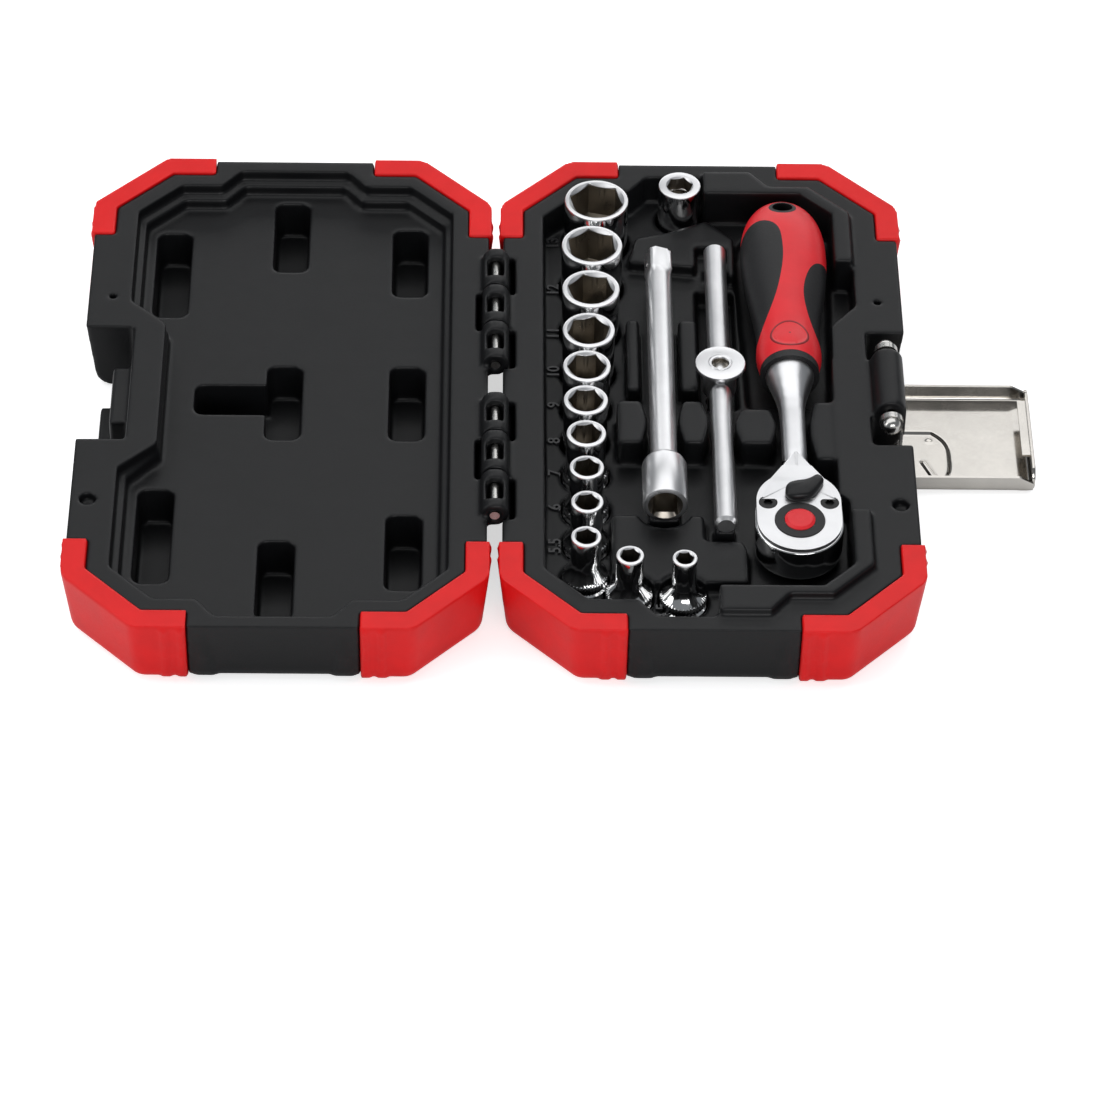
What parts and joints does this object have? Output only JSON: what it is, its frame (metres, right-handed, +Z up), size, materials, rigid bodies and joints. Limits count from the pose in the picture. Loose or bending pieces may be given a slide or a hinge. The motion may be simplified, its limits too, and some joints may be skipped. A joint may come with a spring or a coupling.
{
  "type": "socket set case",
  "caption": "Hinged blow-moulded case with corner guards, a steel over-centre latch and a moulded tray of quarter inch drive sockets, bars and a ratchet.",
  "frame": {"origin": "centre of the base half's flat underside, on the table", "axes": "+Z up, +X from the hinge towards the latch, +Y to the back, along the hinge"},
  "size_m": [0.2562, 0.1874, 0.0295],
  "materials": {
    "black_plastic": "soft satin blow-moulded polyethylene",
    "red_plastic": "satin moulded plastic",
    "chrome": "polished and satin chrome plate",
    "satin_chrome": "satin chrome plate",
    "latch_steel": "bright nickel-plated sheet steel",
    "pin_steel": "bright drawn wire",
    "black_steel": "black oxide",
    "grip_red": "satin plastic",
    "grip_black": "soft-touch rubber"
  },
  "bodies": {
    "base": {"base_shell": "black_plastic", "base_guard_rear_hinge": "red_plastic", "base_guard_rear_latch": "red_plastic", "base_guard_front_hinge": "red_plastic", "base_guard_front_latch": "red_plastic", "hinge_pin_rear": "pin_steel", "hinge_pin_front": "pin_steel", "latch_pin": "pin_steel"},
    "lid": {"lid_shell": "black_plastic", "lid_guard_rear_hinge": "red_plastic", "lid_guard_rear_latch": "red_plastic", "lid_guard_front_hinge": "red_plastic", "lid_guard_front_latch": "red_plastic"},
    "latch_link": {"latch_link": "latch_steel", "latch_link_pin": "pin_steel"},
    "latch_hasp": {"latch_hasp": "latch_steel"},
    "socket_13": {"socket_13": "chrome"},
    "socket_12": {"socket_12": "chrome"},
    "socket_11": {"socket_11": "chrome"},
    "socket_10": {"socket_10": "chrome"},
    "socket_9": {"socket_9": "chrome"},
    "socket_8": {"socket_8": "chrome"},
    "socket_7": {"socket_7": "chrome"},
    "socket_6": {"socket_6": "chrome"},
    "socket_5_5": {"socket_5_5": "chrome"},
    "socket_5": {"socket_5": "chrome"},
    "socket_4_5": {"socket_4_5": "chrome"},
    "socket_4": {"socket_4": "chrome"},
    "bit_adapter": {"bit_adapter": "satin_chrome", "adapter_snap_ring": "pin_steel"},
    "extension_bar": {"extension_bar": "satin_chrome", "extension_ball": "pin_steel"},
    "tbar_rod": {"tbar_rod": "satin_chrome"},
    "tbar_slider": {"tbar_slider": "satin_chrome", "slider_ball": "pin_steel"},
    "ratchet": {"ratchet_body": "chrome", "ratchet_cover": "satin_chrome", "ratchet_screws": "black_steel", "pawl": "pin_steel", "grip_core": "grip_red", "grip_inlay_left": "grip_black", "grip_inlay_right": "grip_black", "grip_collar": "grip_black", "hang_bush": "grip_black"},
    "reverse_lever": {"reverse_lever": "black_steel"},
    "drive_gear": {"drive_gear": "satin_chrome", "drive_ring": "black_steel", "drive_ball": "pin_steel", "release_spring": "pin_steel"},
    "release_button": {"release_button": "grip_red"}
  },
  "joints": [
    {"name": "lid_hinge", "type": "hinge", "parent": "base", "child": "lid", "pos_m": [-0.0562, 0, 0.02215], "axis": [0, -1, 0], "range_deg": [-180, 0]},
    {"name": "latch_link_hinge", "type": "hinge", "parent": "base", "child": "latch_link", "pos_m": [0.0488, 0, 0.0218], "axis": [0, -1, 0], "range_deg": [0, 60]},
    {"name": "latch_hasp_hinge", "type": "hinge", "parent": "latch_link", "child": "latch_hasp", "pos_m": [0.0494, 0, 0.0055], "axis": [0, 1, 0], "range_deg": [-90, 0]},
    {"name": "lift_socket_13", "type": "slide", "parent": "base", "child": "socket_13", "axis": [0, 0, 1], "range_m": [0, 0.035]},
    {"name": "lift_socket_12", "type": "slide", "parent": "base", "child": "socket_12", "axis": [0, 0, 1], "range_m": [0, 0.035]},
    {"name": "lift_socket_11", "type": "slide", "parent": "base", "child": "socket_11", "axis": [0, 0, 1], "range_m": [0, 0.035]},
    {"name": "lift_socket_10", "type": "slide", "parent": "base", "child": "socket_10", "axis": [0, 0, 1], "range_m": [0, 0.035]},
    {"name": "lift_socket_9", "type": "slide", "parent": "base", "child": "socket_9", "axis": [0, 0, 1], "range_m": [0, 0.035]},
    {"name": "lift_socket_8", "type": "slide", "parent": "base", "child": "socket_8", "axis": [0, 0, 1], "range_m": [0, 0.035]},
    {"name": "lift_socket_7", "type": "slide", "parent": "base", "child": "socket_7", "axis": [0, 0, 1], "range_m": [0, 0.035]},
    {"name": "lift_socket_6", "type": "slide", "parent": "base", "child": "socket_6", "axis": [0, 0, 1], "range_m": [0, 0.035]},
    {"name": "lift_socket_5_5", "type": "slide", "parent": "base", "child": "socket_5_5", "axis": [0, 0, 1], "range_m": [0, 0.035]},
    {"name": "lift_socket_5", "type": "slide", "parent": "base", "child": "socket_5", "axis": [0, 0, 1], "range_m": [0, 0.035]},
    {"name": "lift_socket_4_5", "type": "slide", "parent": "base", "child": "socket_4_5", "axis": [0, 0, 1], "range_m": [0, 0.035]},
    {"name": "lift_socket_4", "type": "slide", "parent": "base", "child": "socket_4", "axis": [0, 0, 1], "range_m": [0, 0.035]},
    {"name": "lift_bit_adapter", "type": "slide", "parent": "base", "child": "bit_adapter", "axis": [0, 0, 1], "range_m": [0, 0.035]},
    {"name": "lift_extension_bar", "type": "slide", "parent": "base", "child": "extension_bar", "axis": [0, 0, 1], "range_m": [0, 0.035]},
    {"name": "lift_tbar_rod", "type": "slide", "parent": "base", "child": "tbar_rod", "axis": [0, 0, 1], "range_m": [0, 0.035]},
    {"name": "lift_ratchet", "type": "slide", "parent": "base", "child": "ratchet", "axis": [0, 0, 1], "range_m": [0, 0.035]},
    {"name": "t_slide", "type": "slide", "parent": "tbar_rod", "child": "tbar_slider", "axis": [0, 1, 0], "range_m": [0, 0.038]},
    {"name": "reverse_turn", "type": "hinge", "parent": "ratchet", "child": "reverse_lever", "pos_m": [0.0227, -0.0444, 0.0205], "axis": [0, 0, 1], "range_deg": [0, 98]},
    {"name": "drive_spin", "type": "hinge", "parent": "ratchet", "child": "drive_gear", "pos_m": [0.0227, -0.0558, 0.0205], "axis": [0, 0, 1], "continuous": true},
    {"name": "button_press", "type": "slide", "parent": "drive_gear", "child": "release_button", "axis": [0, 0, -1], "range_m": [0, 0.0012], "stiffness_N_per_m": 800, "springref_m": -0.0006, "deforming": ["release_spring"]}
  ]
}
